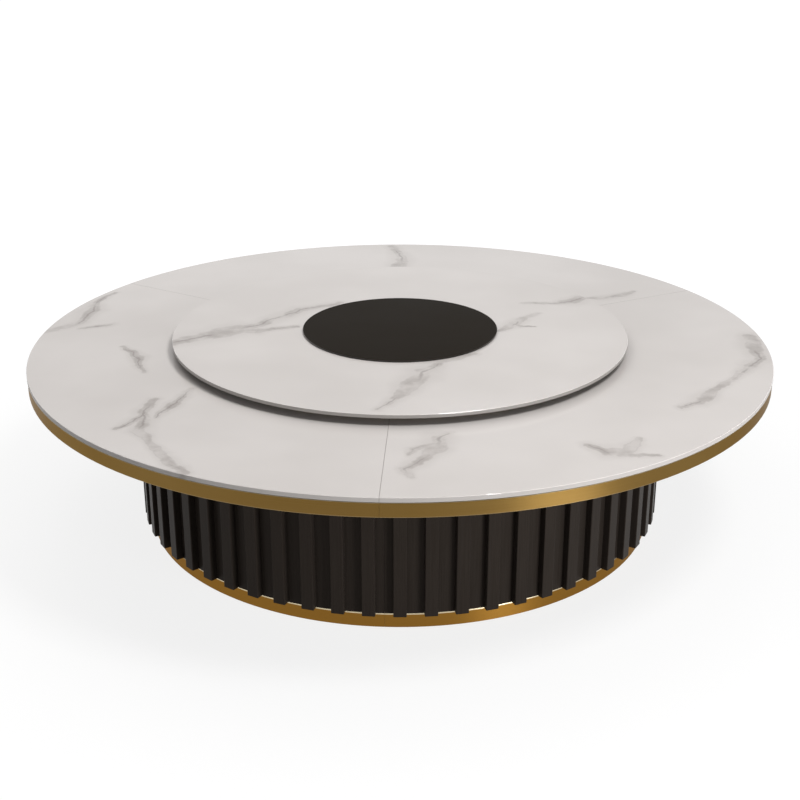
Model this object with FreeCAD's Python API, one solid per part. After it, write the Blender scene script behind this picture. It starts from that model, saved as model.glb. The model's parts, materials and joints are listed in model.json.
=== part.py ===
import FreeCAD, Part
import math
import os

from FreeCAD import Vector

# A round dining table with a turntable. Sizes are in millimetres, angles in degrees.
# The origin is on the floor under the table's centre, with +Z up and the front at -Y.

# --- Whole table ---
top_radius = 1500.0
table_height = 740.0          # floor to the stone top's upper face
section_count = 3             # the top, the drum and the plinth come apart in this many
glue_gap = 0.3                # between curved faces that are glued together
section_gap = 0.6             # between neighbouring boards, panels and strips

# --- Stone top ---
stone_thickness = 18.0
stone_inner_radius = 700.0
stone_seam = 0.6              # joint between two stone segments
stone_arris = 1.5             # bevel along the polished edges
seam_angle = 27.5             # direction of the first joint of the top
centre_board_play = 1.0       # between the stone and the centre board

# --- Boards, rim and band under the stone ---
board_thickness = 18.0
band_thickness = 3.0
band_setback = 1.5            # the stone stands this far proud of the band
band_bevel = 2.0
rim_width = 30.0
underside_thickness = 5.0
underside_gap = 2.0           # between the underside panels and the drum's wall

# --- Steel frame ---
arm_count = 6
arm_width = 50.0
arm_height = 30.0
arm_wall = 2.5
arm_end_gap = 6.0
hub_radius = 200.0
hub_ring_width = 60.0
hub_arm_gap = 5.0
spigot_length = 125.0         # length of the spigot inside an arm
spigot_play = 0.3

# --- Drum base ---
drum_radius = 1057.0          # outer face of the curved panels
panel_thickness = 22.0
slats_per_panel = 20
slat_phase = 0.0              # direction of one slat
slat_width = 48.0
slat_depth = 28.0
slat_round = 3.0
slat_foot_gap = 1.0           # from the plinth's upper face up to the slats' lower ends
slat_head_gap = 3.0           # between the slats' upper ends and the underside panels
drum_ring_thickness = 24.0
drum_ring_width = 88.0
post_count = 6
post_width = 60.0
post_depth = 48.0
post_play = 1.0

# --- Plinth and feet ---
plinth_radius = 1050.0
plinth_height = 64.0
plinth_sheet = 2.0
plinth_bend = 10.0            # outer radius of the bend between its wall and its flange
plinth_floor_gap = 3.0
plinth_board_width = 108.0
foot_pocket_gap = 4.0         # round a foot pad in the plinth board
foot_count = 12
foot_radius = 1000.0          # of the circle that the feet stand on
foot_pad_radius = 30.0
foot_pad_height = 8.0
foot_pad_bevel = 2.0
foot_collar_width = 19.0
foot_collar_height = 4.0
foot_stem_radius = 6.0
foot_stem_length = 32.0       # inside the plinth board

# --- Turntable bearing ---
ball_count = 48
ball_radius = 4.7
ball_play = 0.3
ball_circle_radius = 404.0
bearing_gap = 8.0             # between the two rings
bearing_ring_width = 28.0
bearing_ring_height = 15.0
bearing_stagger = 3.0         # the outer ring stands this much higher than the inner one
cage_width = 5.4
cage_height = 13.0

# --- Turntable ---
turntable_radius = 930.0
turntable_thickness = 15.0
carrier_radius = 820.0
carrier_thickness = 12.0
disc_radius = 400.0
disc_thickness = 9.0
disc_bevel = 1.0
pad_count = 6
pad_radius = 20.0
pad_thickness = 1.0
pad_inset = 60.0              # from the disc's edge to a pad's centre

# --- Balance wheels ---
wheel_count = 4
wheel_phase = 45.0
wheel_track_radius = 780.0
wheel_radius = 12.0
wheel_width = 14.0
wheel_bevel = 1.0
wheel_play = 0.5              # under a wheel while the table is unloaded
wheel_side_play = 1.0
wheel_slot_play = 2.0         # round a wheel in its bracket and board
axle_radius = 3.0
axle_play = 0.1
axle_overhang = 1.0
bracket_plate = 3.0
bracket_ear = 2.0
bracket_ear_width = 14.0
bracket_ear_drop = 5.0        # below the axle
bracket_tab = 16.0            # beyond the slot, at each end

# --- Fasteners ---
bolt_play = 0.5
hub_bolt_radius = 5.0
hub_bolt_head = 17.0          # across flats
hub_bolt_head_height = 6.4
arm_bolt_radius = 4.0
arm_bolt_head = 13.0
arm_bolt_head_height = 5.3
arm_bolt_inset = 16.0         # from the top ring's inner edge
arm_bolt_bite = 6.0           # past the arm's lower wall
fixing_offset = 13.0          # from an arm's middle line to its fixings
board_screw_radius = 3.0
board_screw_head_radius = 6.0
board_screw_head_height = 3.0
board_screw_length = 16.0
board_screw_inset = 60.0      # from the boards' edges
access_hole_radius = 8.0
underside_screw_radius = 2.0
underside_screw_head_radius = 4.0
underside_screw_length = 10.5
underside_screw_inset = 40.0
slat_screw_radius = 2.5
slat_screw_head_radius = 5.0
slat_screw_length = 45.0
slat_screw_inset = 80.0       # from a slat's ends
post_screw_radius = 2.5
post_screw_head_radius = 5.0
post_screw_bite = 12.0        # in the panel
post_screw_offset = 15.0      # from a post's middle line
post_screw_rows = 3
bearing_screw_count = 12
bearing_screw_radius = 2.5
bearing_screw_head_radius = 5.0
base_screw_length = 35.0
carrier_screw_length = 14.0
carrier_screw_grip = 6.0      # thickness of the outer ring under the screws' heads
carrier_bore_radius = 6.0

# --- Heights worked out from the sizes above ---
stone_bottom = table_height - stone_thickness
board_bottom = stone_bottom - board_thickness
arm_bottom = board_bottom - arm_height
underside_bottom = arm_bottom - underside_thickness
top_ring_bottom = arm_bottom - drum_ring_thickness
plinth_board_top = plinth_height - plinth_sheet
foot_pocket_top = foot_pad_height + foot_collar_height
bottom_ring_top = plinth_board_top + drum_ring_thickness
slat_bottom = plinth_height + slat_foot_gap
slat_top = underside_bottom - slat_head_gap
ball_height = table_height + (bearing_ring_height + bearing_stagger) / 2
outer_ring_bottom = table_height + bearing_stagger
carrier_bottom = outer_ring_bottom + bearing_ring_height
turntable_bottom = carrier_bottom + carrier_thickness
turntable_top = turntable_bottom + turntable_thickness
disc_bottom = turntable_top + pad_thickness
axle_height = table_height + wheel_play + wheel_radius

# --- Radii and directions worked out from the sizes above ---
band_outer = top_radius - band_setback
band_inner = band_outer - band_thickness
rim_outer = band_inner - glue_gap
rim_inner = rim_outer - rim_width
underside_outer = rim_inner - glue_gap
underside_inner = drum_radius + underside_gap
arm_start = hub_radius + hub_arm_gap
arm_end = rim_inner - arm_end_gap
spigot_end = arm_start + spigot_length
panel_inner = drum_radius - panel_thickness
drum_ring_outer = panel_inner - glue_gap
drum_ring_inner = drum_ring_outer - drum_ring_width
post_outer = drum_ring_outer - post_play
post_inner = post_outer - post_depth
plinth_board_outer = plinth_radius - plinth_sheet - glue_gap
plinth_board_inner = plinth_board_outer - plinth_board_width
inner_ring_outer = ball_circle_radius - bearing_gap / 2
inner_ring_inner = inner_ring_outer - bearing_ring_width
outer_ring_inner = ball_circle_radius + bearing_gap / 2
outer_ring_outer = outer_ring_inner + bearing_ring_width
section_angle = 360.0 / section_count
slat_pitch = section_angle / slats_per_panel
panel_joint_angle = slat_phase + slat_pitch * (0.5 + round(seam_angle / slat_pitch - 0.5))
slot_length = 2 * (wheel_radius + wheel_slot_play)
slot_width = wheel_width + 2 * wheel_side_play
bracket_width = slot_width + 2 * bracket_ear
bracket_length = slot_length + 2 * bracket_tab

UP = Vector(0, 0, 1)
DOWN = Vector(0, 0, -1)
OUTWARD = Vector(1, 0, 0)
SECTION_LETTERS = "abcdefghijkl"


# --- Basic shapes ---

def polar(radius, angle):
    return Vector(radius * math.cos(math.radians(angle)), radius * math.sin(math.radians(angle)), 0)


def revolved(outline):
    """Turn a closed outline of (radius, height) points about the Z axis."""
    points = [Vector(radius, 0, height) for radius, height in outline]
    return Part.Face(Part.makePolygon(points + points[:1])).revolve(Vector(), UP, 360)


def ring(inner, outer, bottom, top):
    return revolved([(inner, bottom), (outer, bottom), (outer, top), (inner, top)])


def bevelled_disc(radius, bottom, top, lower_bevel, upper_bevel):
    return revolved([
        (0, bottom), (radius - lower_bevel, bottom), (radius, bottom + lower_bevel),
        (radius, top - upper_bevel), (radius - upper_bevel, top), (0, top),
    ])


def cylinder(radius, position, direction, length):
    return Part.makeCylinder(radius, length, position, direction)


def bar(start, end, width, bottom, top):
    """A straight bar along +X, centred on the X axis."""
    return Part.makeBox(end - start, width, top - bottom, Vector(start, -width / 2, bottom))


def turned(shape, angle):
    return shape.rotated(Vector(), UP, angle)


def around(shape, count, first_angle):
    return [turned(shape, first_angle + 360.0 / count * index) for index in range(count)]


def placed(shape, position, direction):
    """Put a shape that was made along +Z at a position, along a direction."""
    copy = shape.copy()
    copy.Placement = FreeCAD.Placement(position, FreeCAD.Rotation(UP, direction))
    return copy


def group(shapes):
    return Part.makeCompound(shapes)


def sections(shape, first_angle, gap):
    """Cut a shape into equal sectors, with parallel gaps between them."""
    reach = 4 * top_radius
    half = section_angle / 2
    pieces = []
    for index in range(section_count):
        start = first_angle + section_angle * index
        apex = polar(gap / 2 / math.sin(math.radians(half)), start + half)
        corners = [apex] + [apex + polar(reach, start + half * step) for step in range(3)]
        sector = Part.Face(Part.makePolygon(corners + corners[:1])).extrude(UP * 2 * table_height)
        pieces.append(shape.common(sector).Solids[0])
    return pieces


# --- Fasteners, made along +Z with the head at the start ---

def countersunk_screw(radius, head_radius, length):
    return revolved([
        (0, 0), (head_radius, 0), (radius, head_radius - radius), (radius, length), (0, length),
    ])


def pan_screw(radius, head_radius, head_height, length):
    return revolved([
        (0, -head_height), (head_radius, -head_height), (head_radius, 0),
        (radius, 0), (radius, length), (0, length),
    ])


def hex_prism(across_flats, height):
    corner_radius = across_flats / math.sqrt(3)
    corners = [polar(corner_radius, 60 * index) for index in range(7)]
    return Part.Face(Part.makePolygon(corners)).extrude(UP * height)


def hex_bolt(radius, across_flats, head_height, length):
    head = hex_prism(across_flats, head_height).translated(DOWN * head_height)
    return head.fuse(cylinder(radius, Vector(), UP, length)).removeSplitter()


# --- Top ---

def stone_tops():
    profile = [
        (stone_inner_radius, stone_bottom),
        (top_radius - stone_arris, stone_bottom),
        (top_radius, stone_bottom + stone_arris),
        (top_radius, table_height - stone_arris),
        (top_radius - stone_arris, table_height),
        (stone_inner_radius, table_height),
    ]
    return sections(revolved(profile), seam_angle, stone_seam)


def edge_bands():
    profile = [
        (band_inner, underside_bottom),
        (band_outer - band_bevel, underside_bottom),
        (band_outer, underside_bottom + band_bevel),
        (band_outer, stone_bottom - band_bevel),
        (band_outer - band_bevel, stone_bottom),
        (band_inner, stone_bottom),
    ]
    return sections(revolved(profile), seam_angle, section_gap)


def board_screws():
    """Screws inside the arms that hold the centre board and the top boards."""
    screw = pan_screw(
        board_screw_radius, board_screw_head_radius, board_screw_head_height, board_screw_length
    )
    radii = [
        stone_inner_radius - board_screw_inset,
        stone_inner_radius + board_screw_inset,
        (drum_radius + rim_inner) / 2,
        arm_end - board_screw_inset,
    ]
    seat = board_bottom - arm_wall
    row = [
        placed(screw, Vector(radius, side * fixing_offset, seat), UP)
        for radius in radii
        for side in (-1, 1)
    ]
    holes = [
        cylinder(access_hole_radius, Vector(radius, side * fixing_offset, arm_bottom), UP, arm_wall)
        for radius in radii
        for side in (-1, 1)
    ]
    return row, holes


def underside_screws():
    screw = countersunk_screw(underside_screw_radius, underside_screw_head_radius, underside_screw_length)
    radii = [underside_inner + underside_screw_inset, underside_outer - underside_screw_inset]
    return [
        placed(screw, Vector(radius, side * fixing_offset, underside_bottom), UP)
        for radius in radii
        for side in (-1, 1)
    ]


# --- Steel frame, each part made along +X ---

def hub_bolt():
    length = arm_height - arm_wall - spigot_play
    bolt = hex_bolt(hub_bolt_radius, hub_bolt_head, hub_bolt_head_height, length)
    return placed(bolt, Vector((arm_start + spigot_end) / 2, 0, arm_bottom), UP)


def arm_bolts():
    length = drum_ring_thickness + arm_wall + arm_bolt_bite
    bolt = hex_bolt(arm_bolt_radius, arm_bolt_head, arm_bolt_head_height, length)
    radius = drum_ring_inner + arm_bolt_inset
    return [
        placed(bolt, Vector(radius, side * fixing_offset, top_ring_bottom), UP)
        for side in (-1, 1)
    ]


def frame_arm(fixings, access_holes):
    outer = bar(arm_start, arm_end, arm_width, arm_bottom, board_bottom)
    bore = bar(arm_start, arm_end, arm_width - 2 * arm_wall, arm_bottom + arm_wall, board_bottom - arm_wall)
    bolt_hole = cylinder(
        hub_bolt_radius + bolt_play, Vector((arm_start + spigot_end) / 2, 0, arm_bottom), UP, arm_wall
    )
    return outer.cut(bore).cut(group([bolt_hole] + fixings + access_holes))


def frame_hub():
    bottom = arm_bottom + arm_wall + spigot_play
    top = board_bottom - arm_wall - spigot_play
    width = arm_width - 2 * (arm_wall + spigot_play)
    hub_ring = ring(hub_radius - hub_ring_width, hub_radius, bottom, top)
    spigot = bar(hub_radius - hub_ring_width / 2, spigot_end, width, bottom, top)
    hub = hub_ring.multiFuse(around(spigot, arm_count, seam_angle)).removeSplitter()
    return hub.cut(group(around(hub_bolt(), arm_count, seam_angle)))


# --- Drum and plinth ---

def slat_screws_for(angle):
    screw = countersunk_screw(slat_screw_radius, slat_screw_head_radius, slat_screw_length)
    heights = [slat_bottom + slat_screw_inset, slat_top - slat_screw_inset]
    return [turned(placed(screw, Vector(panel_inner, 0, height), OUTWARD), angle) for height in heights]


def slat():
    block = bar(drum_radius, drum_radius + slat_depth, slat_width, slat_bottom, slat_top)
    front_edges = [
        edge for edge in block.Edges
        if all(abs(vertex.X - drum_radius - slat_depth) < 1e-6 for vertex in edge.Vertexes)
        and abs(edge.Vertexes[0].Z - edge.Vertexes[1].Z) > 1e-6
    ]
    return block.makeFillet(slat_round, front_edges)


def post_screws():
    length = post_depth + panel_inner - post_outer + post_screw_bite
    screw = countersunk_screw(post_screw_radius, post_screw_head_radius, length)
    row_height = (top_ring_bottom - bottom_ring_top) / post_screw_rows
    heights = [bottom_ring_top + row_height * (row + 0.5) for row in range(post_screw_rows)]
    return [
        placed(screw, Vector(post_inner, side * post_screw_offset, height), OUTWARD)
        for height in heights
        for side in (-1, 1)
    ]


def rounded_lid(inner, outer, bottom, top, radius):
    """A flat ring whose upper outer edge is rounded."""
    blank = ring(inner, outer, bottom, top)
    upper_edges = [
        edge for edge in blank.Edges
        if edge.Closed and all(
            abs(vertex.Z - top) < 1e-6 and abs(vertex.X - outer) < 1e-6 for vertex in edge.Vertexes
        )
    ]
    return blank.makeFillet(radius, upper_edges)


def plinth_rings():
    """Bent strips with a top flange that lies under the drum's panels."""
    outside = rounded_lid(panel_inner, plinth_radius, plinth_floor_gap, plinth_height, plinth_bend)
    inside = rounded_lid(
        panel_inner - plinth_sheet, plinth_radius - plinth_sheet,
        plinth_floor_gap - plinth_sheet, plinth_board_top, plinth_bend - plinth_sheet,
    )
    return sections(outside.cut(inside), panel_joint_angle, section_gap)


def plinth_board(stems):
    """The board ring that the feet screw into. It fills the plinth rings down to their lower edge."""
    board = rounded_lid(
        plinth_board_inner, plinth_board_outer, plinth_floor_gap, plinth_board_top,
        plinth_bend - plinth_sheet,
    )
    pocket = cylinder(
        foot_pad_radius + foot_pocket_gap, Vector(foot_radius, 0, 0), UP, foot_pocket_top
    )
    return board.cut(group(around(pocket, foot_count, panel_joint_angle) + stems))


def foot_pad():
    pad = bevelled_disc(foot_pad_radius, 0, foot_pad_height, 0, foot_pad_bevel)
    return pad.translated(Vector(foot_radius, 0, 0))


def foot_stem():
    collar = hex_prism(foot_collar_width, foot_collar_height)
    stem = collar.fuse(cylinder(foot_stem_radius, Vector(), UP, foot_collar_height + foot_stem_length))
    return stem.removeSplitter().translated(Vector(foot_radius, 0, foot_pad_height))


# --- Bearing and turntable ---

def ball_groove():
    return Part.makeTorus(ball_circle_radius, ball_radius + ball_play, Vector(0, 0, ball_height), UP)


def bearing_cage():
    band = ring(
        ball_circle_radius - cage_width / 2, ball_circle_radius + cage_width / 2,
        ball_height - cage_height / 2, ball_height + cage_height / 2,
    )
    pocket_start = Vector(ball_circle_radius - cage_width, 0, ball_height)
    pocket = cylinder(ball_radius + ball_play, pocket_start, OUTWARD, 2 * cage_width)
    return band.cut(group(around(pocket, ball_count, 0)))


def base_screws():
    """Screws that hold the inner ring down on the centre board."""
    screw = countersunk_screw(bearing_screw_radius, bearing_screw_head_radius, base_screw_length)
    middle = (inner_ring_inner + inner_ring_outer) / 2
    screw = placed(screw, Vector(middle, 0, table_height + bearing_ring_height), DOWN)
    return around(screw, bearing_screw_count, 0)


def carrier_screw():
    return countersunk_screw(bearing_screw_radius, bearing_screw_head_radius, carrier_screw_length)


def carrier_ring_screws():
    """Screws that hold the outer ring up against the carrier board."""
    middle = (outer_ring_inner + outer_ring_outer) / 2
    screw = placed(carrier_screw(), Vector(middle, 0, carrier_bottom - carrier_screw_grip), UP)
    return around(screw, bearing_screw_count, 0)


def bearing_outer_ring():
    middle = (outer_ring_inner + outer_ring_outer) / 2
    depth = bearing_ring_height - carrier_screw_grip
    counterbore = cylinder(carrier_bore_radius, Vector(middle, 0, outer_ring_bottom), UP, depth)
    counterbores = around(counterbore, bearing_screw_count, 0)
    body = ring(outer_ring_inner, outer_ring_outer, outer_ring_bottom, carrier_bottom)
    return body.cut(ball_groove()).cut(group(counterbores + carrier_ring_screws()))


def bracket_screws():
    """The two screws of one bracket, beyond the ends of its slot."""
    offset = (slot_length + bracket_tab) / 2
    seat = carrier_bottom - bracket_plate
    return [
        placed(carrier_screw(), Vector(wheel_track_radius, side * offset, seat), UP)
        for side in (-1, 1)
    ]


def wheel_axle():
    half = bracket_width / 2 + axle_overhang
    return cylinder(axle_radius, Vector(wheel_track_radius - half, 0, axle_height), OUTWARD, 2 * half)


def wheel_slot(bottom, top):
    half = slot_width / 2
    return bar(wheel_track_radius - half, wheel_track_radius + half, slot_length, bottom, top)


def wheel_bracket():
    plate_bottom = carrier_bottom - bracket_plate
    ear_bottom = axle_height - bracket_ear_drop
    start = wheel_track_radius - bracket_width / 2
    end = wheel_track_radius + bracket_width / 2
    plate = bar(start, end, bracket_length, plate_bottom, carrier_bottom)
    ears = bar(start, end, bracket_ear_width, ear_bottom, plate_bottom)
    opening = wheel_slot(ear_bottom, carrier_bottom)
    return plate.fuse(ears).cut(opening).cut(group([wheel_axle()] + bracket_screws())).removeSplitter()


def balance_wheel():
    half = wheel_width / 2
    bore = axle_radius + axle_play
    wheel = revolved([
        (bore, -half), (wheel_radius - wheel_bevel, -half), (wheel_radius, wheel_bevel - half),
        (wheel_radius, half - wheel_bevel), (wheel_radius - wheel_bevel, half), (bore, half),
    ])
    return placed(wheel, Vector(wheel_track_radius, 0, axle_height), OUTWARD)


def turntable_board(fixings):
    board = ring(0, carrier_radius, carrier_bottom, turntable_bottom)
    pocket_top = axle_height + wheel_radius + wheel_slot_play
    pockets = around(wheel_slot(carrier_bottom, pocket_top), wheel_count, wheel_phase)
    return board.cut(group(pockets + fixings))


# --- The whole table ---

def top_parts():
    parts = {}
    screw_row, access_holes = board_screws()
    under_row = underside_screws()
    bolts = arm_bolts()
    all_screws = [turned(screw, angle) for screw in screw_row for angle in arm_angles()]
    all_under = [turned(screw, angle) for screw in under_row for angle in arm_angles()]
    screw_group = group(all_screws)
    under_group = group(all_under)

    for letter, stone in zip(SECTION_LETTERS, stone_tops()):
        parts["stone_top_" + letter] = stone
    boards = ring(stone_inner_radius, rim_outer, board_bottom, stone_bottom).cut(screw_group)
    for letter, board in zip(SECTION_LETTERS, sections(boards, seam_angle, section_gap)):
        parts["top_board_" + letter] = board
    rims = ring(rim_inner, rim_outer, underside_bottom, board_bottom)
    for letter, rim in zip(SECTION_LETTERS, sections(rims, seam_angle, section_gap)):
        parts["edge_rim_" + letter] = rim
    for letter, band in zip(SECTION_LETTERS, edge_bands()):
        parts["edge_band_" + letter] = band
    undersides = ring(underside_inner, underside_outer, underside_bottom, arm_bottom).cut(under_group)
    for letter, panel in zip(SECTION_LETTERS, sections(undersides, seam_angle, section_gap)):
        parts["underside_panel_" + letter] = panel

    centre = ring(0, stone_inner_radius - centre_board_play, board_bottom, table_height)
    parts["centre_board"] = centre.cut(screw_group).cut(group(base_screws()))
    parts["frame_hub"] = frame_hub()
    arm = frame_arm(screw_row + under_row + bolts, access_holes)
    for number, angle in enumerate(arm_angles(), 1):
        parts["frame_arm_%d" % number] = turned(arm, angle)
    parts["hub_bolts"] = group(around(hub_bolt(), arm_count, seam_angle))
    parts["arm_bolts"] = group([turned(bolt, angle) for bolt in bolts for angle in arm_angles()])
    parts["board_screws"] = screw_group
    parts["underside_screws"] = under_group
    return parts


def arm_angles():
    return [seam_angle + 360.0 / arm_count * index for index in range(arm_count)]


def slat_angles(section):
    first = panel_joint_angle + section_angle * section + slat_pitch / 2
    return [first + slat_pitch * index for index in range(slats_per_panel)]


def arm_bolt_holes():
    position = Vector(drum_ring_inner + arm_bolt_inset, 0, top_ring_bottom)
    hole = cylinder(arm_bolt_radius + bolt_play, position, UP, drum_ring_thickness)
    return [
        turned(hole.translated(Vector(0, side * fixing_offset, 0)), angle)
        for side in (-1, 1)
        for angle in arm_angles()
    ]


def drum_parts():
    parts = {}
    post = bar(post_inner, post_outer, post_width, bottom_ring_top, top_ring_bottom)
    posts = around(post, post_count, panel_joint_angle)
    fixings = [fixing for screw in post_screws() for fixing in around(screw, post_count, panel_joint_angle)]
    fixing_group = group(fixings)
    wall_ring = turned(ring(panel_inner, drum_radius, plinth_height, arm_bottom), panel_joint_angle)
    slat_screws = []
    for section, wall in enumerate(sections(wall_ring, panel_joint_angle, section_gap)):
        letter = SECTION_LETTERS[section]
        angles = slat_angles(section)
        screws = [screw for angle in angles for screw in slat_screws_for(angle)]
        screw_group = group(screws)
        parts["drum_panel_" + letter] = wall.cut(screw_group).cut(fixing_group)
        parts["drum_slats_" + letter] = group([turned(slat(), angle).cut(screw_group) for angle in angles])
        slat_screws += screws

    top_ring = ring(drum_ring_inner, drum_ring_outer, top_ring_bottom, arm_bottom)
    parts["drum_top_ring"] = top_ring.cut(group(arm_bolt_holes()))
    parts["drum_bottom_ring"] = ring(drum_ring_inner, drum_ring_outer, plinth_board_top, bottom_ring_top)
    parts["drum_posts"] = group([post.cut(fixing_group) for post in posts])
    stems = around(foot_stem(), foot_count, panel_joint_angle)
    parts["plinth_board"] = plinth_board(stems)
    for letter, strip in zip(SECTION_LETTERS, plinth_rings()):
        parts["plinth_ring_" + letter] = strip
    parts["foot_pads"] = group(around(foot_pad(), foot_count, panel_joint_angle))
    parts["foot_stems"] = group(stems)
    parts["slat_screws"] = group(slat_screws)
    parts["post_screws"] = fixing_group
    return parts


def turntable_parts():
    parts = {}
    wheel_angles = [wheel_phase + 360.0 / wheel_count * index for index in range(wheel_count)]
    small_screws = [turned(screw, angle) for screw in bracket_screws() for angle in wheel_angles]
    carrier_screws = carrier_ring_screws() + small_screws
    inner_ring = ring(inner_ring_inner, inner_ring_outer, table_height, table_height + bearing_ring_height)
    parts["bearing_inner_ring"] = inner_ring.cut(ball_groove()).cut(group(base_screws()))
    parts["bearing_outer_ring"] = bearing_outer_ring()
    parts["bearing_cage"] = bearing_cage()
    ball = Part.makeSphere(ball_radius, Vector(ball_circle_radius, 0, ball_height))
    parts["bearing_balls"] = group(around(ball, ball_count, 0))
    parts["bearing_base_screws"] = group(base_screws())
    parts["carrier_screws"] = group(carrier_screws)
    parts["turntable_board"] = turntable_board(carrier_screws)
    parts["turntable_stone"] = bevelled_disc(
        turntable_radius, turntable_bottom, turntable_top, stone_arris, stone_arris
    )
    parts["wheel_brackets"] = group([turned(wheel_bracket(), angle) for angle in wheel_angles])
    parts["wheel_axles"] = group([turned(wheel_axle(), angle) for angle in wheel_angles])
    for number, angle in enumerate(wheel_angles, 1):
        parts["balance_wheel_%d" % number] = turned(balance_wheel(), angle)
    parts["centre_disc"] = bevelled_disc(
        disc_radius, disc_bottom, disc_bottom + disc_thickness, disc_bevel, disc_bevel
    )
    pad = cylinder(pad_radius, Vector(disc_radius - pad_inset, 0, turntable_top), UP, pad_thickness)
    parts["disc_pads"] = group(around(pad, pad_count, 0))
    return parts


def main():
    os.makedirs("parts", exist_ok=True)
    parts = {**top_parts(), **drum_parts(), **turntable_parts()}
    for name, shape in parts.items():
        shape.exportStep("parts/" + name + ".step")
    print(len(parts), "nodes")


main()
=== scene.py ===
import json
import math

import bpy
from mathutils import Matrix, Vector


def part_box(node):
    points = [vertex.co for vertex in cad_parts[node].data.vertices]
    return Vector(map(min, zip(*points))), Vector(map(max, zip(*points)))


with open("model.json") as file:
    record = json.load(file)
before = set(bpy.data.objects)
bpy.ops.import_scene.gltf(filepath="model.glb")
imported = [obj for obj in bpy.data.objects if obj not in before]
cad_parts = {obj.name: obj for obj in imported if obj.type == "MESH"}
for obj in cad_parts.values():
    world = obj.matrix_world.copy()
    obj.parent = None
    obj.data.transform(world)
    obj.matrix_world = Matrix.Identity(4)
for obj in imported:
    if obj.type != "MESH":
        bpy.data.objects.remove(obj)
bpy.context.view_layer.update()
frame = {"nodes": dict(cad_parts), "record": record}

# Everything is in metres, in the frame of the CAD model: the origin is on the floor
# under the table's centre, +Z is up and the front is at -Y.

# --- Camera ---
CAMERA_PLACE = (0.0, -5.289, 2.577)
CAMERA_TILT = math.radians(90 - 21.716)
SENSOR_WIDTH = 36.0               # millimetres, as Blender counts it
FOCAL_LENGTH = 60.75              # millimetres too
VIEW_DISTANCE = 200.0             # past the far edge of the floor

# --- Heights that the materials need, read from the frame ---
BAND_LOW, BAND_HIGH = (corner.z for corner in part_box("edge_band_a"))
PLINTH_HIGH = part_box("plinth_ring_a")[1].z

# --- Veins, each a list of (x, y, half width) along its middle line ---
TURNTABLE_VEINS = {
    "left": [
        (-0.95, -0.20, 0.030), (-0.86, -0.13, 0.050), (-0.74, -0.05, 0.055), (-0.66, 0.01, 0.045),
        (-0.59, 0.06, 0.030), (-0.54, 0.14, 0.030), (-0.43, 0.26, 0.030), (-0.26, 0.36, 0.020),
    ],
    "left_branch": [
        (-0.67, -0.01, 0.020), (-0.59, -0.01, 0.030), (-0.53, 0.02, 0.020), (-0.42, 0.04, 0.010),
    ],
    "right": [
        (0.38, -0.04, 0.012), (0.45, 0.04, 0.022), (0.48, 0.10, 0.024), (0.52, 0.15, 0.018),
        (0.59, 0.22, 0.010),
    ],
    "right_branch": [(0.46, 0.07, 0.014), (0.50, 0.04, 0.014), (0.56, 0.04, 0.006)],
    "back": [
        (0.54, 0.36, 0.010), (0.66, 0.36, 0.016), (0.75, 0.38, 0.035), (0.79, 0.42, 0.028),
        (0.86, 0.47, 0.020),
    ],
    "disc_edge": [(0.30, -0.30, 0.010), (0.23, -0.355, 0.016), (0.16, -0.39, 0.010)],
    "front": [
        (0.14, -0.41, 0.025), (0.09, -0.50, 0.040), (0.07, -0.57, 0.042), (0.04, -0.65, 0.036),
        (0.00, -0.76, 0.022), (-0.07, -0.88, 0.014),
    ],
}
TOP_VEINS = {
    "left_rim": [
        (-1.50, 0.10, 0.015), (-1.38, 0.22, 0.024), (-1.36, 0.38, 0.034), (-1.36, 0.52, 0.022),
        (-1.30, 0.66, 0.010),
    ],
    "left_rim_branch": [(-1.36, 0.14, 0.010), (-1.24, 0.18, 0.016)],
    "left_soft": [
        (-1.14, -0.08, 0.008), (-1.08, -0.14, 0.016), (-1.04, -0.21, 0.022), (-1.02, -0.30, 0.016),
        (-0.99, -0.38, 0.008),
    ],
    "left_streak": [
        (-0.78, -0.55, 0.010), (-0.80, -0.63, 0.018), (-0.83, -0.74, 0.022), (-0.86, -0.84, 0.012),
    ],
    "left_long": [
        (-0.90, -0.66, 0.014), (-0.91, -0.77, 0.024), (-0.90, -0.86, 0.028), (-0.90, -0.97, 0.024),
        (-0.85, -1.07, 0.014), (-0.81, -1.14, 0.016), (-0.76, -1.23, 0.020), (-0.70, -1.32, 0.018),
    ],
    "left_branch": [(-0.90, -0.79, 0.016), (-0.94, -0.87, 0.022), (-0.98, -0.95, 0.010)],
    "right_long": [
        (1.46, 0.04, 0.030), (1.44, -0.12, 0.036), (1.43, -0.24, 0.024), (1.37, -0.31, 0.024),
        (1.29, -0.43, 0.014), (1.20, -0.54, 0.018), (1.13, -0.64, 0.026), (1.09, -0.70, 0.026),
        (1.01, -0.75, 0.012),
    ],
    "front_patch": [
        (0.64, -1.10, 0.016), (0.69, -1.15, 0.028), (0.75, -1.155, 0.028), (0.79, -1.10, 0.020),
        (0.82, -1.04, 0.010),
    ],
    "front_patch_branch": [(0.73, -1.18, 0.014), (0.85, -1.19, 0.010)],
    "front": [
        (0.18, -0.98, 0.012), (0.14, -1.03, 0.036), (0.13, -1.12, 0.032), (0.09, -1.20, 0.024),
        (0.06, -1.24, 0.024), (0.02, -1.29, 0.016), (0.04, -1.35, 0.010),
    ],
    "front_branch": [(0.12, -1.08, 0.014), (0.06, -1.13, 0.018), (0.04, -1.18, 0.010)],
    "back": [(-0.03, 1.46, 0.020), (0.02, 1.20, 0.036), (-0.02, 0.98, 0.030), (-0.08, 0.80, 0.016)],
    "back_right": [
        (0.84, 0.56, 0.012), (0.92, 0.57, 0.024), (1.00, 0.62, 0.026), (1.06, 0.68, 0.012),
    ],
}
VEIN_WAVER = 0.06                 # how far each of two noises bends a vein

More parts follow.
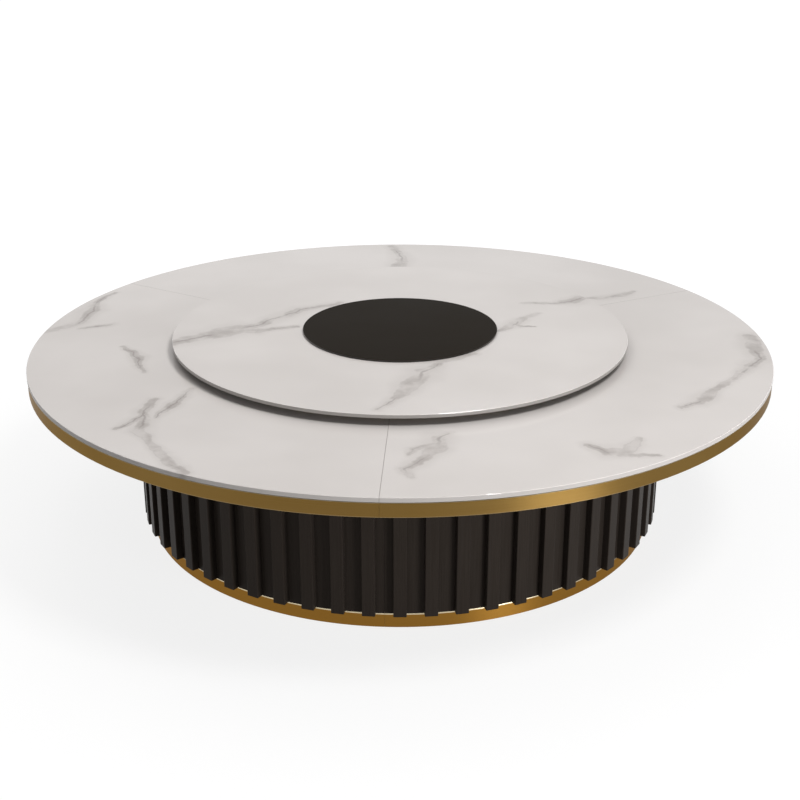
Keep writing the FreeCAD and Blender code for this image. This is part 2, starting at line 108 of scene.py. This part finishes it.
# --- Parts of a vein, at distances from its middle line that count its half width as 1 ---
HALO = (2.8, 0.7)
BODY = (1.30, 0.55)
MIDDLE_THREAD = (0.30, 0.05)
RIM = 0.95
RIM_THREAD = (0.25, 0.03)         # to either side of the rim

# --- The joints between the top's three stone segments, as the CAD model has them ---
JOINT_DIRECTION = math.radians(27.5)
JOINT_STEP = math.radians(120)
JOINT_LINE = (0.0018, 0.0008)     # distances from a joint at which its line starts and is full

NOISE_SPREAD = (0.3, 0.7)         # nearly all of a noise's values lie between these


# --- Building materials from nodes ---

class Surface:
    """A material with one Principled shader, and short calls for the nodes that drive it."""

    def __init__(self, name, **settings):
        self.material = bpy.data.materials.new(name)
        self.material.use_nodes = True
        self.tree = self.material.node_tree
        self.shader = self.tree.nodes["Principled BSDF"]
        self.set(**settings)
        self.place = self.node("ShaderNodeTexCoord").outputs["Object"]

    def set(self, **settings):
        """Set the shader's sockets, where an underscore stands for a space."""
        for name, value in settings.items():
            self.feed(self.shader.inputs[name.replace("_", " ")], value)

    def feed(self, socket, value):
        if isinstance(value, bpy.types.NodeSocket):
            self.tree.links.new(value, socket)
        else:
            socket.default_value = value

    def node(self, kind, inputs=(), **attributes):
        made = self.tree.nodes.new(kind)
        for name, value in attributes.items():
            setattr(made, name, value)
        for name, value in dict(inputs).items():
            self.feed(made.inputs[name], value)
        return made

    def math(self, operation, first, second=0.0, third=0.0, clamp=False):
        inputs = {0: first, 1: second, 2: third}
        return self.node("ShaderNodeMath", inputs, operation=operation, use_clamp=clamp).outputs[0]

    def vector(self, operation, first, second=(0, 0, 0), scale=1.0, output="Vector"):
        inputs = {0: first, 1: second, 3: scale}
        return self.node("ShaderNodeVectorMath", inputs, operation=operation).outputs[output]

    def stretched(self, scales):
        """The place on the object with each axis multiplied, for streaks and grain."""
        return self.vector("MULTIPLY", self.place, scales)

    def noise(self, scale, detail=3.0, roughness=0.5, place=None, output="Fac"):
        inputs = {
            "Vector": place or self.place, "Scale": scale, "Detail": detail, "Roughness": roughness,
        }
        return self.node("ShaderNodeTexNoise", inputs).outputs[output]

    def fade(self, value, start, end, low=0.0, high=1.0):
        """Map a value from start..end to low..high, smoothly and held at both ends."""
        inputs = {
            "Value": value, "From Min": start, "From Max": end, "To Min": low, "To Max": high,
        }
        made = self.node("ShaderNodeMapRange", inputs, interpolation_type="SMOOTHSTEP")
        return made.outputs["Result"]

    def mix(self, share, first, second):
        made = self.node("ShaderNodeMix", data_type="RGBA")
        for index, value in ((0, share), (6, first), (7, second)):
            self.feed(made.inputs[index], value)
        return made.outputs[2]

    def height(self):
        return self.node("ShaderNodeSeparateXYZ", {0: self.place}).outputs["Z"]

    def radius(self):
        return self.vector("LENGTH", self.stretched((1, 1, 0)), output="Value")

    def facing(self):
        """How far the surface faces up: 1 on a level face, 0 on an upright one, -1 underneath."""
        normal = self.node("ShaderNodeNewGeometry").outputs["Normal"]
        return self.node("ShaderNodeSeparateXYZ", {0: normal}).outputs["Z"]

    def lean(self):
        """How far the surface faces up or down: 1 on a level face and 0 on an upright one."""
        return self.math("ABSOLUTE", self.facing())

    def side(self):
        """1 on an upright face and 0 on one that leans well over."""
        return self.fade(self.lean(), 0.5, 0.2)

    def bump(self, height, distance):
        inputs = {"Height": height, "Distance": distance, "Strength": 1.0}
        self.set(Normal=self.node("ShaderNodeBump", inputs).outputs["Normal"])


def colour(red, green, blue):
    return (red, green, blue, 1.0)


# --- Stone ---

def vein_distance(surface, veins):
    """How far a place is from the nearest vein, where 1 is the vein's half width."""
    place = surface.place
    for noise in (
        surface.noise(2.1, 2.0, output="Color"),
        surface.noise(11.0, 5.0, 0.6, output="Color"),
    ):
        bend = surface.vector("SUBTRACT", noise, (0.5, 0.5, 0.5))
        place = surface.vector("ADD", place, surface.vector("SCALE", bend, scale=VEIN_WAVER))
    flat = surface.vector("MULTIPLY", place, (1, 1, 0))
    nearest = None
    for points in veins.values():
        for (*start, start_width), (*end, end_width) in zip(points, points[1:]):
            origin = Vector((*start, 0))
            along = Vector((*end, 0)) - origin
            per_length = along / along.length_squared
            offset = surface.vector("SUBTRACT", flat, origin)
            share = surface.vector("DOT_PRODUCT", offset, per_length, output="Value")
            share = surface.math("ADD", share, 0.0, clamp=True)
            foot = surface.vector("SCALE", along, scale=share)
            distance = surface.vector("DISTANCE", offset, foot, output="Value")
            width = surface.math("MULTIPLY_ADD", share, end_width - start_width, start_width)
            near = surface.math("DIVIDE", distance, width)
            nearest = near if nearest is None else surface.math("MINIMUM", nearest, near)
    return nearest


def vein_shares(surface, near):
    """How far a place takes on the vein's colour, and how far the colour of its dark thread."""
    halo = surface.fade(near, *HALO, 0.0, 0.20)
    patches = surface.fade(surface.noise(9.0, 4.0, 0.6), 0.34, 0.66, 0.25, 0.78)
    body = surface.math("MULTIPLY", surface.fade(near, *BODY), patches)
    breaks = surface.fade(surface.noise(5.0, 2.0), 0.44, 0.58)
    middle = surface.math("MULTIPLY", surface.fade(near, *MIDDLE_THREAD), breaks)
    from_rim = surface.math("ABSOLUTE", surface.math("SUBTRACT", near, RIM))
    elsewhere = surface.math("SUBTRACT", 0.35, breaks, clamp=True)
    rim = surface.math("MULTIPLY", surface.fade(from_rim, *RIM_THREAD), elsewhere)
    thread = surface.math("MULTIPLY", surface.math("MAXIMUM", middle, rim), 0.5)
    return surface.math("MAXIMUM", halo, body), thread


def joint_share(surface):
    """1 on the thin line of filler along each joint of the top's stone, and 0 beside it."""
    parts = surface.node("ShaderNodeSeparateXYZ", {0: surface.place})
    direction = surface.math("ARCTAN2", parts.outputs["Y"], parts.outputs["X"])
    turned = surface.math("SUBTRACT", direction, JOINT_DIRECTION)
    angle = surface.math("PINGPONG", turned, JOINT_STEP / 2)
    return surface.fade(surface.math("MULTIPLY", angle, surface.radius()), *JOINT_LINE)


def stone(name, veins, jointed, side_shade_share):
    """Pale polished stone with broad warm grey veins, darker threads in them, and faint clouds.

    Its upright edge is rougher and less glossy than its face, and its colour there is darkened
    toward grey as painted shade, by the side share given. Its back is rough, and its colour there
    is painted near black as shade under the stone.
    """
    surface = Surface(name)
    cloud = surface.fade(surface.noise(1.3, 3.0, 0.55), 0.30, 0.72)
    side = surface.side()
    back = surface.fade(surface.facing(), -0.4, -0.8)

    vein, thread = vein_shares(surface, vein_distance(surface, veins))
    shade = surface.mix(cloud, colour(0.705, 0.664, 0.637), colour(0.770, 0.728, 0.702))
    shade = surface.mix(vein, shade, colour(0.430, 0.392, 0.370))
    shade = surface.mix(thread, shade, colour(0.295, 0.262, 0.248))
    if jointed:
        filler = surface.math("MULTIPLY", joint_share(surface), 0.42)
        shade = surface.mix(filler, shade, colour(0.300, 0.270, 0.250))
    # Painted shade: the colour of upright faces is darkened toward grey, as far as the side share
    # given.
    edge_painted_shade = surface.math("MULTIPLY", side, side_shade_share)
    shade = surface.mix(edge_painted_shade, shade, colour(0.285, 0.272, 0.255))
    # Painted shade: faces that look down are coloured near black, as the shade under the stone.
    back_painted_shade = surface.mix(cloud, colour(0.110, 0.096, 0.084), colour(0.145, 0.128, 0.114))
    surface.set(Base_Color=surface.mix(back, shade, back_painted_shade))

    roughness = surface.fade(surface.noise(35.0, 2.0), *NOISE_SPREAD, 0.05, 0.08)
    roughness = surface.math("MULTIPLY_ADD", back, 0.70, roughness)
    surface.set(Roughness=surface.math("MULTIPLY_ADD", side, 0.40, roughness))
    surface.set(Specular_IOR_Level=surface.math("MULTIPLY_ADD", side, -0.30, 0.50))
    return surface.material


# --- Metals ---

def brass():
    """Satin brass-coloured strip, brushed along its length, with painted highlights on its edges.

    The plinth's is redder, and its bend has a painted highlight.
    """
    surface = Surface(
        "brass", Metallic=1.0, Anisotropic=0.8, Anisotropic_Rotation=0.25,
        Specular_Tint=colour(0.72, 0.64, 0.55),
    )
    height = surface.height()
    streaks = surface.noise(1.0, 3.0, 0.6, surface.stretched((2.0, 2.0, 1900.0)))
    haze = surface.noise(1.6, 3.0, 0.55, surface.stretched((1.0, 1.0, 2.0)))
    haze = surface.fade(haze, 0.35, 0.75, 0.0, 0.5)
    on_plinth = surface.fade(height, 0.4, 0.1)
    on_band = surface.math("SUBTRACT", 1.0, on_plinth, clamp=True)
    redness = surface.math("MULTIPLY", on_plinth, 0.8)

    shade = surface.fade(streaks, *NOISE_SPREAD)
    shade = surface.mix(shade, colour(0.174, 0.101, 0.026), colour(0.216, 0.132, 0.039))
    shade = surface.mix(haze, shade, colour(0.246, 0.158, 0.051))
    shade = surface.mix(redness, shade, colour(0.295, 0.142, 0.022))
    # Painted highlights: pale lines along the band's top and bottom edges.
    low_edge = surface.fade(height, BAND_LOW + 0.0045, BAND_LOW + 0.0015, 0.0, 0.12)
    high_edge = surface.fade(height, BAND_HIGH - 0.0035, BAND_HIGH - 0.001, 0.0, 0.5)
    edges = surface.math("MULTIPLY", surface.math("MAXIMUM", low_edge, high_edge), on_band)
    # Painted highlight: a pale line along the plinth's bend.
    bend = surface.fade(height, PLINTH_HIGH - 0.0105, PLINTH_HIGH - 0.0080)
    bend = surface.math("MULTIPLY", bend, on_plinth)
    # Both painted highlights mix in a pale brass colour.
    pale = surface.math("MAXIMUM", edges, bend)
    surface.set(Base_Color=surface.mix(pale, shade, colour(0.88, 0.76, 0.52)))

    surface.set(Roughness=surface.fade(streaks, 0.25, 0.75, 0.36, 0.47))
    tangent = surface.node("ShaderNodeTangent", direction_type="RADIAL", axis="Z")
    surface.set(Tangent=tangent.outputs["Tangent"])
    surface.bump(streaks, 0.00002)
    return surface.material


def zinc_steel():
    """Zinc-plated fasteners, with a faint spangle."""
    surface = Surface("zinc_steel", Metallic=1.0)
    spangle = surface.noise(160.0, 3.0)
    shade = surface.mix(spangle, colour(0.42, 0.43, 0.45), colour(0.66, 0.66, 0.64))
    surface.set(Base_Color=shade, Roughness=surface.fade(spangle, *NOISE_SPREAD, 0.28, 0.45))
    return surface.material


def bearing_steel():
    """Bright balls, with a faint smear of grease."""
    surface = Surface("bearing_steel", Metallic=1.0)
    smear = surface.noise(90.0, 3.0)
    shade = surface.mix(smear, colour(0.66, 0.67, 0.69), colour(0.78, 0.78, 0.78))
    surface.set(Base_Color=shade, Roughness=surface.fade(smear, *NOISE_SPREAD, 0.08, 0.16))
    return surface.material


def aluminium():
    """Turned rings: fine lines run round them."""
    surface = Surface("aluminium", Metallic=1.0, Anisotropic=0.4)
    inputs = {"X": surface.radius(), "Z": surface.height()}
    across = surface.node("ShaderNodeCombineXYZ", inputs).outputs["Vector"]
    lines = surface.noise(2600.0, 2.0, 0.5, across)
    shade = surface.mix(lines, colour(0.58, 0.59, 0.61), colour(0.74, 0.74, 0.75))
    surface.set(Base_Color=shade, Roughness=surface.fade(lines, *NOISE_SPREAD, 0.24, 0.36))
    surface.bump(lines, 0.00004)
    return surface.material


def frame_steel():
    """Black powder coat, with its fine orange-peel texture."""
    surface = Surface("frame_steel", Specular_IOR_Level=0.4)
    grain = surface.noise(900.0, 2.0)
    cloud = surface.noise(6.0)
    shade = surface.mix(cloud, colour(0.022, 0.022, 0.023), colour(0.035, 0.035, 0.036))
    surface.set(Base_Color=shade, Roughness=surface.fade(grain, *NOISE_SPREAD, 0.45, 0.60))
    surface.bump(grain, 0.00015)
    return surface.material


# --- Woods and lacquer ---

def black_lacquer():
    """Warm black satin lacquer over upright grain."""
    surface = Surface(
        "black_lacquer", Specular_IOR_Level=0.07, Specular_Tint=colour(1.0, 0.86, 0.76),
    )
    grain = surface.noise(1.0, 4.0, 0.6, surface.stretched((260.0, 260.0, 5.0)))
    mottle = surface.fade(surface.noise(7.0, 3.0, 0.55), 0.35, 0.75, 0.0, 0.4)
    shade = surface.fade(grain, *NOISE_SPREAD)
    shade = surface.mix(shade, colour(0.0275, 0.0216, 0.0177), colour(0.0352, 0.0284, 0.0240))
    surface.set(Base_Color=surface.mix(mottle, shade, colour(0.034, 0.027, 0.022)))
    surface.set(Roughness=surface.fade(grain, 0.25, 0.75, 0.34, 0.46))
    surface.bump(grain, 0.00008)
    return surface.material


def disc_black():
    """Warm black: a satin face with a fine, even tooth, and a glossy edge."""
    surface = Surface("disc_black")
    side = surface.side()
    cloud = surface.noise(3.0, 3.0, 0.5)
    satin = surface.fade(cloud, *NOISE_SPREAD, 0.30, 0.36)
    shade = surface.mix(cloud, colour(0.0120, 0.0086, 0.0054), colour(0.0172, 0.0130, 0.0086))
    surface.set(Base_Color=shade, Roughness=surface.math("MULTIPLY_ADD", side, -0.12, satin))
    surface.set(Specular_IOR_Level=surface.math("MULTIPLY_ADD", side, 0.485, 0.015))
    surface.bump(surface.noise(700.0, 2.0), 0.00003)
    return surface.material


def plywood():
    """Raw board: long grain on its faces and thin layers on its edges."""
    surface = Surface("plywood", Specular_IOR_Level=0.25)
    waver = surface.vector("SCALE", surface.noise(3.0, 2.0, output="Color"), scale=0.05)
    place = surface.vector("ADD", surface.place, waver)
    place = surface.vector("MULTIPLY", place, (2.5, 60.0, 60.0))
    grain = surface.noise(1.0, 5.0, 0.6, place)
    face = surface.fade(grain, *NOISE_SPREAD)
    face = surface.mix(face, colour(0.42, 0.29, 0.165), colour(0.60, 0.46, 0.30))
    layers = surface.fade(surface.math("PINGPONG", surface.height(), 0.0015), 0.0005, 0.0010)
    edge = surface.mix(layers, colour(0.30, 0.19, 0.10), colour(0.56, 0.42, 0.26))
    surface.set(Base_Color=surface.mix(surface.fade(surface.lean(), 0.4, 0.6), edge, face))
    surface.set(Roughness=surface.fade(grain, *NOISE_SPREAD, 0.55, 0.72))
    surface.bump(grain, 0.0002)
    return surface.material


# --- Plastics and felt ---

def nylon():
    """Off-white moulded nylon, a little translucent."""
    surface = Surface("nylon", Specular_IOR_Level=0.4, Subsurface_Weight=0.05)
    cloud = surface.noise(60.0, 3.0)
    shade = surface.mix(cloud, colour(0.66, 0.64, 0.57), colour(0.74, 0.72, 0.66))
    surface.set(Base_Color=shade, Roughness=surface.fade(cloud, *NOISE_SPREAD, 0.38, 0.50))
    surface.bump(surface.noise(1200.0, 2.0), 0.00004)
    return surface.material


def foot_plastic():
    """Black moulded plastic with a fine grain."""
    surface = Surface("foot_plastic", Specular_IOR_Level=0.4)
    grain = surface.noise(700.0, 3.0)
    shade = surface.mix(grain, colour(0.018, 0.018, 0.018), colour(0.032, 0.032, 0.032))
    surface.set(Base_Color=shade, Roughness=surface.fade(grain, *NOISE_SPREAD, 0.45, 0.62))
    surface.bump(grain, 0.0001)
    return surface.material


def felt():
    """Dark grey felt with loose fibres."""
    surface = Surface("felt", Sheen_Weight=0.3)
    fibres = surface.noise(800.0, 4.0, 0.7)
    shade = surface.mix(fibres, colour(0.045, 0.045, 0.045), colour(0.110, 0.110, 0.110))
    surface.set(Base_Color=shade, Roughness=surface.fade(fibres, *NOISE_SPREAD, 0.85, 1.0))
    surface.bump(fibres, 0.0003)
    return surface.material


def dress_nodes():
    """Give each CAD node the finish of its slot. The turntable's stone has veins of its own."""
    finishes = {
        "stone": stone("stone", TOP_VEINS, jointed=True, side_shade_share=0.36),
        "brass": brass(),
        "black_lacquer": black_lacquer(),
        "disc_black": disc_black(),
        "plywood": plywood(),
        "frame_steel": frame_steel(),
        "zinc_steel": zinc_steel(),
        "bearing_steel": bearing_steel(),
        "aluminium": aluminium(),
        "nylon": nylon(),
        "foot_plastic": foot_plastic(),
        "felt": felt(),
    }
    for subpart in frame["record"]["subparts"]:
        node = frame["nodes"][subpart["node"]]
        finish = finishes[subpart["material_slot"]]
        if subpart["node"] == "turntable_stone":
            finish = stone("turntable_stone", TURNTABLE_VEINS, jointed=False, side_shade_share=0.85)
        for material_slot in node.material_slots:
            material_slot.material = finish


# --- Floor, background, lights and camera ---

def seen_directly(surface):
    """1 for the rays that show the background: camera, glossy and transmission rays."""
    path = surface.node("ShaderNodeLightPath").outputs
    seen = surface.math("MAXIMUM", path["Is Camera Ray"], path["Is Glossy Ray"])
    return surface.math("MAXIMUM", seen, path["Is Transmission Ray"])


def add_world():
    """A room that is white at the horizon, as the floor is, and dimmer towards its ceiling."""
    ceiling_strength = 0.20
    white_up_to = math.sin(math.radians(8.0))
    dim_from = math.sin(math.radians(24.0))
    world = bpy.data.worlds.new("studio")
    bpy.context.scene.world = world
    world.use_nodes = True
    tree = world.node_tree
    direction = tree.nodes.new("ShaderNodeTexCoord")
    rise = tree.nodes.new("ShaderNodeSeparateXYZ")
    tree.links.new(direction.outputs["Generated"], rise.inputs["Vector"])
    strength = tree.nodes.new("ShaderNodeMapRange")
    strength.interpolation_type = "SMOOTHSTEP"
    tree.links.new(rise.outputs["Z"], strength.inputs["Value"])
    strength.inputs["From Min"].default_value = white_up_to
    strength.inputs["From Max"].default_value = dim_from
    strength.inputs["To Min"].default_value = 1.0
    strength.inputs["To Max"].default_value = ceiling_strength
    background = tree.nodes["Background"]
    background.inputs["Color"].default_value = colour(1.0, 1.0, 1.0)
    tree.links.new(strength.outputs["Result"], background.inputs["Strength"])


def add_floor():
    """A pale floor that shows white where it is open, and keeps the table's soft shadow."""
    floor_radius = 60.0
    under_table = 1.5             # the floor shows a little dimmer up to here
    open_floor = 6.0              # and white from here on
    bpy.ops.mesh.primitive_circle_add(vertices=96, radius=floor_radius, fill_type="NGON")
    floor = bpy.context.object
    floor.name = "floor"
    surface = Surface(
        "floor", Base_Color=colour(0.20, 0.20, 0.20), Roughness=0.9, Specular_IOR_Level=0.0,
    )
    rising = surface.fade(surface.radius(), under_table, open_floor, 0.83, 1.0)
    glow = surface.math("MULTIPLY", seen_directly(surface), rising)
    surface.set(Emission_Color=colour(1.0, 1.0, 1.0), Emission_Strength=glow)
    floor.data.materials.append(surface.material)


def add_light(name, place, aim, width, height, watts, mirrored=True):
    """Add an area lamp. One that isn't mirrored leaves no image of itself in polished stone."""
    light = bpy.data.lights.new(name, "AREA")
    light.shape = "RECTANGLE"
    light.size = width
    light.size_y = height
    light.energy = watts
    lamp = bpy.data.objects.new(name, light)
    bpy.context.scene.collection.objects.link(lamp)
    lamp.location = place
    lamp.rotation_euler = (Vector(aim) - Vector(place)).to_track_quat("-Z", "Y").to_euler()
    lamp.visible_camera = False
    lamp.visible_glossy = mirrored


def add_lights():
    """Light the table. The strip stays lower than the top, so the stone doesn't mirror it."""
    middle = (0.0, 0.0, 0.7)
    add_light("key", (2.3, -2.7, 6.4), middle, 1.8, 1.8, 212.0)
    add_light("overhead", (0.0, 0.6, 5.6), middle, 5.0, 5.0, 60.0)
    add_light("left_back", (-2.2, 1.8, 4.6), (-0.6, 0.5, 0.7), 3.5, 3.5, 55.0)
    add_light("strip_right", (3.7, -4.6, 0.37), (0.5, -1.4, 0.45), 1.9, 0.62, 78.0)
    add_light("low_right", (3.7, -4.6, 1.05), (0.5, -1.4, 0.65), 1.9, 1.9, 56.0, mirrored=False)


def add_camera():
    data = bpy.data.cameras.new("camera")
    data.sensor_width = SENSOR_WIDTH
    data.lens = FOCAL_LENGTH
    data.clip_end = VIEW_DISTANCE
    camera = bpy.data.objects.new("camera", data)
    bpy.context.scene.collection.objects.link(camera)
    camera.location = CAMERA_PLACE
    camera.rotation_euler = (CAMERA_TILT, 0.0, 0.0)
    bpy.context.scene.camera = camera


dress_nodes()
add_world()
add_floor()
add_lights()
add_camera()
bpy.context.scene.view_settings.view_transform = "Standard"
